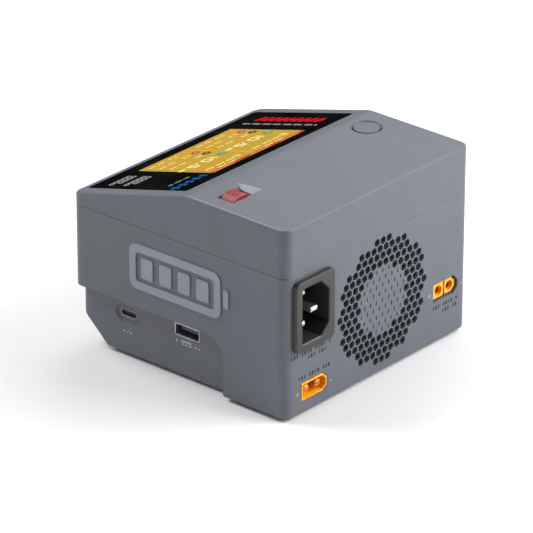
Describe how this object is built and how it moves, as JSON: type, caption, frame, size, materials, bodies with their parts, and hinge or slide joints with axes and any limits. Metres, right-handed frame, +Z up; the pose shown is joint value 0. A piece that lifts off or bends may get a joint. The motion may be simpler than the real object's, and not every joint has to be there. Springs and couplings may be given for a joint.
{
  "type": "balance battery charger",
  "caption": "Desktop balance charger: grey plastic case with sloping display, scroll wheel, round button, mains inlet, battery and USB ports, and a rear cooling fan.",
  "frame": {"origin": "on the supporting surface, under the middle of the case", "axes": "+Z up; -Y is the front that the user faces, +Y the back with the fan; +X is the side with the USB ports"},
  "size_m": [0.1186, 0.1204, 0.0875],
  "materials": {
    "case_plastic": "fine moulded grain, satin grey",
    "emblem_plastic": "satin light grey inlay",
    "display_glass": "black gloss hard-coated window",
    "lcd": "lit display panel",
    "inner_plastic": "black moulded internal plastic",
    "circuit_board": "green solder mask",
    "wheel_red": "red translucent-looking satin plastic",
    "steel": "plated steel",
    "inlet_plastic": "dark grey flame-retardant plastic",
    "nickel": "nickel plated brass",
    "connector_amber": "amber nylon",
    "gold": "gold plated brass",
    "header_plastic": "natural white nylon",
    "fan_plastic": "black glass-filled plastic",
    "bronze": "sintered bronze",
    "copper": "enamelled copper",
    "aluminium": "extruded, anodised",
    "ferrite": "sintered ferrite",
    "rubber": "black rubber",
    "component_black": "moulded epoxy",
    "capacitor_sleeve": "dark blue shrink sleeve",
    "film": "insulating film",
    "flex": "polyimide flex",
    "fuse_glass": "fuse tube"
  },
  "bodies": {
    "case": {"lower_case": "case_plastic", "top_cover": "case_plastic", "side_emblem": "emblem_plastic", "display_window": "display_glass", "lcd_panel": "lcd", "display_frame": "inner_plastic", "display_board": "circuit_board", "control_board": "circuit_board", "small_screws": "steel", "display_ribbon": "flex", "push_switches": "component_black", "button_guide": "inner_plastic", "mains_inlet": "inlet_plastic", "mains_inlet_blades": "nickel", "dc_input_plug": "connector_amber", "dc_input_plug_pins": "gold", "dc_output_socket": "connector_amber", "channel_1_socket": "connector_amber", "channel_2_socket": "connector_amber", "socket_contacts": "gold", "channel_1_balance_header": "header_plastic", "channel_2_balance_header": "header_plastic", "balance_pins": "nickel", "usb_a_shell": "steel", "usb_a_tongue": "component_black", "usb_c_shell": "steel", "usb_c_tongue": "component_black", "fan_frame": "fan_plastic", "fan_bearing": "bronze", "fan_stator": "copper", "fan_screws": "steel", "main_board": "circuit_board", "power_board": "circuit_board", "insulating_sheet": "film", "board_spacers": "gold", "board_screws": "steel", "power_transistors": "component_black", "main_heatsink": "aluminium", "output_inductors": "ferrite", "filter_capacitors": "capacitor_sleeve", "controller_chip": "component_black", "buzzer": "component_black", "transformer_core": "ferrite", "transformer_winding": "copper", "bulk_capacitors": "capacitor_sleeve", "choke_core": "ferrite", "choke_windings": "copper", "power_heatsink": "aluminium", "bridge_rectifier": "component_black", "fuse": "fuse_glass", "case_screws": "steel", "rubber_feet": "rubber"},
    "fan": {"fan_rotor": "fan_plastic", "fan_shaft": "steel"},
    "button": {"power_button": "case_plastic", "button_spring": "steel"},
    "wheel_carriage": {"wheel_carrier": "inner_plastic", "wheel_encoder": "component_black"},
    "wheel": {"scroll_wheel": "wheel_red", "wheel_axle": "steel"}
  },
  "joints": [
    {"name": "fan_spin", "type": "hinge", "parent": "case", "child": "fan", "pos_m": [-0.00215, 0.05, 0.0342], "axis": [0, 1, 0], "continuous": true},
    {"name": "power_button_press", "type": "slide", "parent": "case", "child": "button", "axis": [0, 0, -1], "range_m": [0, 0.0008], "stiffness_N_per_m": 2500},
    {"name": "wheel_press", "type": "slide", "parent": "case", "child": "wheel_carriage", "axis": [0, 0, -1], "range_m": [0, 0.0005], "stiffness_N_per_m": 4000},
    {"name": "wheel_spin", "type": "hinge", "parent": "wheel_carriage", "child": "wheel", "pos_m": [0.0453, 0.0198, 0.08105], "axis": [0, 1, 0], "continuous": true}
  ]
}
